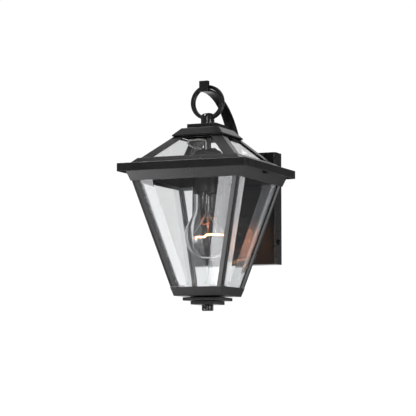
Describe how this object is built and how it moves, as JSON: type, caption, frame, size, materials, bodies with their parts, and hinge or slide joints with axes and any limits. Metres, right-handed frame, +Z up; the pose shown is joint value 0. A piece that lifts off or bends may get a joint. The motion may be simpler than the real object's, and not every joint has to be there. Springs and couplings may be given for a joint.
{
  "type": "outdoor wall lantern",
  "caption": "Tapered glazed wall lantern: black metal frame, bevelled clear panes, glazed hip roof, ring and curved arm to a box wall plate, clear screw-in lamp inside.",
  "frame": {"origin": "on the wall, at the centre of the wall bracket's back face", "axes": "+X right as seen from the front, +Y into the wall, +Z up; the lantern stands out towards -Y"},
  "size_m": [0.18, 0.2034, 0.3043],
  "materials": {
    "black_paint": "satin black powder coat on folded sheet",
    "polished_black": "gloss black paint on turned metal",
    "zinc_steel": "zinc-plated steel",
    "ground_green": "green-coated steel screw",
    "clear_glass": "clear flat glass, bevelled on the cage panes",
    "lamp_glass": "thin clear blown glass",
    "lamp_base_metal": "rolled aluminium screw shell",
    "lamp_insulator": "black vitrite glass",
    "filament": "glowing tungsten coil",
    "porcelain": "white glazed porcelain",
    "brass": "plain stamped brass",
    "bushing_plastic": "black moulded plastic",
    "wire_white": "white insulation",
    "wire_black": "black insulation",
    "connector_orange": "orange moulded twist-on wire connector"
  },
  "bodies": {
    "fixture": {"wall_plate": "black_paint", "wall_bracket": "zinc_steel", "plate_screw_lower_left": "black_paint", "plate_screw_lower_right": "black_paint", "plate_screw_upper_left": "black_paint", "plate_screw_upper_right": "black_paint", "ground_screw": "ground_green", "eave_frame": "black_paint", "roof_bolt_left": "zinc_steel", "roof_bolt_right": "zinc_steel", "roof_bolt_nut_left": "zinc_steel", "roof_bolt_nut_right": "zinc_steel", "wire_bushing": "bushing_plastic", "roof_frame": "black_paint", "roof_pane_front": "clear_glass", "roof_pane_right": "clear_glass", "roof_pane_back": "clear_glass", "roof_pane_left": "clear_glass", "roof_cap": "black_paint", "top_plate": "black_paint", "cap_nut": "black_paint", "ring": "black_paint", "knob": "polished_black", "arm_end_block": "black_paint", "arm": "black_paint", "centre_rod": "black_paint", "cover_nut_upper": "black_paint", "cover_nut_lower": "zinc_steel", "socket_cover": "black_paint", "socket_body": "porcelain", "socket_screw_shell": "brass", "socket_centre_contact": "brass", "wire_white": "wire_white", "wire_connector_white": "connector_orange", "wire_black": "wire_black", "wire_connector_black": "connector_orange"},
    "cage": {"cage_rail": "black_paint", "post_front_right": "black_paint", "post_back_right": "black_paint", "post_back_left": "black_paint", "post_front_left": "black_paint", "pane_front": "clear_glass", "pane_right": "clear_glass", "pane_back": "clear_glass", "pane_left": "clear_glass", "cage_pan": "black_paint", "step_plate_1": "black_paint", "step_plate_2": "black_paint", "finial": "polished_black", "finial_nut": "zinc_steel"},
    "cage_screw_left": {"cage_screw_left": "black_paint"},
    "cage_screw_right": {"cage_screw_right": "black_paint"},
    "lamp_carrier": {"lamp_contact": "zinc_steel"},
    "lamp": {"lamp_glass": "lamp_glass", "lamp_base": "lamp_base_metal", "lamp_insulator": "lamp_insulator", "lamp_stem": "lamp_glass", "lamp_lead_left": "zinc_steel", "lamp_lead_right": "zinc_steel", "lamp_filament": "filament"}
  },
  "joints": [
    {"name": "cage_drop", "type": "slide", "parent": "fixture", "child": "cage", "axis": [0, 0, -1], "range_m": [0, 0.15]},
    {"name": "cage_screw_left_out", "type": "slide", "parent": "cage", "child": "cage_screw_left", "axis": [-1, 0, 0], "range_m": [0, 0.002]},
    {"name": "cage_screw_right_out", "type": "slide", "parent": "cage", "child": "cage_screw_right", "axis": [1, 0, 0], "range_m": [0, 0.002]},
    {"name": "lamp_travel", "type": "slide", "parent": "fixture", "child": "lamp_carrier", "axis": [0, 0, -1], "range_m": [0, 0.01814]},
    {"name": "lamp_turn", "type": "hinge", "parent": "lamp_carrier", "child": "lamp", "pos_m": [0, -0.1134, 0], "axis": [0, 0, -1], "range_deg": [0, 1800]}
  ],
  "couplings": [
    {"joint": "lamp_turn", "follows": "lamp_travel", "rad_per_m": 1731.2}
  ]
}
